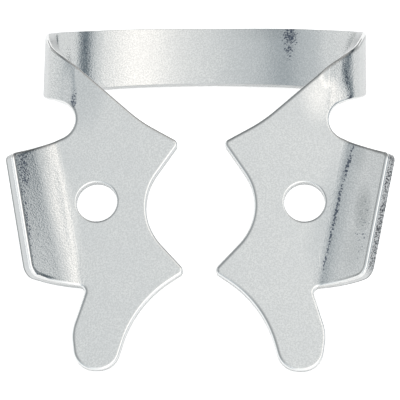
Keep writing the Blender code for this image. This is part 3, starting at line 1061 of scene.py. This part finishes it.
def addCamera(lay):
    tilt = math.radians(camera["tilt"])
    yaw = math.radians(camera["yaw"])
    back = Vector((math.sin(yaw) * math.cos(tilt), -math.sin(tilt), math.cos(yaw) * math.cos(tilt)))
    right = Vector((0.0, 1.0, 0.0)).cross(back).normalized()
    up = back.cross(right)
    roll = math.atan2(up.x, right.x)
    right, up = (
        right * math.cos(roll) + up * math.sin(roll),
        up * math.cos(roll) - right * math.sin(roll),
    )
    turn = lay.to_3x3()
    axes = Matrix((turn @ right, turn @ up, turn @ back)).transposed()
    place = lay @ (back * camera["distance"] * mm)
    view = bpy.data.cameras.new("view")
    width = camera["mmPerPixel"] * camera["imageWidth"]
    view.sensor_width = camera["sensor"]
    view.lens = camera["sensor"] * camera["distance"] / width
    middle = camera["imageWidth"] / 2.0
    view.shift_x = (middle - camera["originPixel"][0]) / camera["imageWidth"]
    view.shift_y = (camera["originPixel"][1] - middle) / camera["imageWidth"]
    view.clip_start, view.clip_end = camera["clip"]
    eye = bpy.data.objects.new("view", view)
    eye.matrix_world = Matrix.Translation(place) @ axes.to_4x4()
    bpy.context.scene.collection.objects.link(eye)
    bpy.context.scene.camera = eye


# A tent of soft light over the clamp. Each entry of tent is an angle round the line from the tongues to
# the bow, 0 straight above the jaws and positive to the right, with the light's level there. Along has
# angles towards the bow. Tint has a share and a power of the level for red, green and blue
room = {
    "floorSize": 1.2,
    "floorColour": (0.93, 0.93, 0.93),
    "floorRoughness": 0.9,
    "floorGlow": 0.62,
    "floorMirrorGlow": 0.26,
    "tint": ((0.985, 1.12), (1.0, 1.0), (1.005, 0.91)),
    "along": ((-90.0, 1.0), (-30.0, 1.1), (0.0, 1.0), (22.0, 1.0), (40.0, 0.7), (60.0, 0.3), (90.0, 0.3)),
    "tent": (
        (-180.0, 0.95),
        (-110.0, 1.06),
        (-90.0, 0.95),
        (-72.0, 0.97),
        (-60.0, 0.86),
        (-50.0, 0.78),
        (-42.0, 0.7),
        (-38.5, 0.57),
        (-35.5, 0.52),
        (-33.0, 0.52),
        (-30.0, 0.67),
        (-26.0, 0.76),
        (-18.0, 0.845),
        (-10.0, 0.89),
        (-4.0, 0.99),
        (4.0, 1.05),
        (12.0, 1.17),
        (18.0, 1.28),
        (24.0, 1.47),
        (30.0, 1.5),
        (36.0, 1.38),
        (42.0, 1.16),
        (48.0, 1.05),
        (56.0, 0.92),
        (63.0, 0.88),
        (68.0, 0.5),
        (72.5, 0.22),
        (82.0, 0.24),
        (87.0, 0.5),
        (96.0, 1.02),
        (120.0, 1.06),
        (180.0, 0.95),
    ),
}


# A colour ramp of light levels over an angle, with its middle at 0
def levelRamp(wire, angle, span, entries, tint):
    share = wire.calc("ADD", wire.calc("DIVIDE", angle, math.radians(span)), 0.5)
    ramp = wire.node("ShaderNodeValToRGB", {0: share})
    stops = ramp.color_ramp.elements
    for i, (side, level) in enumerate(entries):
        place = side / span + 0.5
        stop = stops.new(place) if i > 1 else stops[i]
        stop.position = place
        stop.color = (*[part * level ** power for part, power in tint], 1.0)
    return ramp.outputs[0]


def addWorld(lay):
    world = bpy.data.worlds.new("room")
    bpy.context.scene.world = world
    world.use_nodes = True
    wire = Wiring(world.node_tree)
    background = world.node_tree.nodes["Background"]
    direction = wire.node("ShaderNodeTexCoord").outputs["Generated"]
    axes = [(lay.to_3x3() @ axis).normalized() for axis in Matrix.Identity(3)]
    right, back, above = (wire.vector("DOT_PRODUCT", direction, axis) for axis in axes)
    tent = levelRamp(wire, wire.calc("ARCTAN2", right, above), 360.0, room["tent"], room["tint"])
    plain = ((1.0, 1.0),) * 3
    along = levelRamp(wire, wire.calc("ARCSINE", back), 180.0, room["along"], plain)
    light = mixColour(wire, 1.0, tent, along, "MULTIPLY")
    seen = wire.node("ShaderNodeLightPath").outputs["Is Camera Ray"]
    wire.feed(background.inputs["Color"], mixColour(wire, seen, light, (1.0, 1.0, 1.0)))


def addFloor():
    half = room["floorSize"] / 2.0
    mesh = bpy.data.meshes.new("floor")
    corners = [(-half, -half, 0), (half, -half, 0), (half, half, 0), (-half, half, 0)]
    mesh.from_pydata(corners, [], [(0, 1, 2, 3)])
    floor = bpy.data.objects.new("floor", mesh)
    floor.location.z = cadBounds[0][2]
    bpy.context.scene.collection.objects.link(floor)
    paper = bpy.data.materials.new("floorPaper")
    paper.use_nodes = True
    wire = Wiring(paper.node_tree)
    shader = paper.node_tree.nodes["Principled BSDF"]
    shader.inputs["Base Color"].default_value = (*room["floorColour"], 1.0)
    shader.inputs["Roughness"].default_value = room["floorRoughness"]
    shader.inputs["Specular IOR Level"].default_value = 0.0
    shader.inputs["Emission Color"].default_value = (1.0, 1.0, 1.0, 1.0)
    path = wire.node("ShaderNodeLightPath").outputs
    shown = wire.calc("MULTIPLY", path["Is Camera Ray"], room["floorGlow"])
    mirrored = wire.calc("MULTIPLY", path["Is Glossy Ray"], room["floorMirrorGlow"])
    wire.feed(shader.inputs["Emission Strength"], wire.calc("ADD", shown, mirrored))
    mesh.materials.append(paper)


restSpin = restTurn(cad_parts["clamp"])
steel = steelMaterial(restSpin.to_3x3() @ Vector((0.0, 1.0, 0.0)))
clampSheet, lay = buildClamp(steel)
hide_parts("clamp")
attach(clampSheet, "root")
print("clamp in place")
addCamera(lay)
addWorld(lay)
addFloor()
bpy.context.scene.view_settings.view_transform = "Standard"
print("camera and room set")
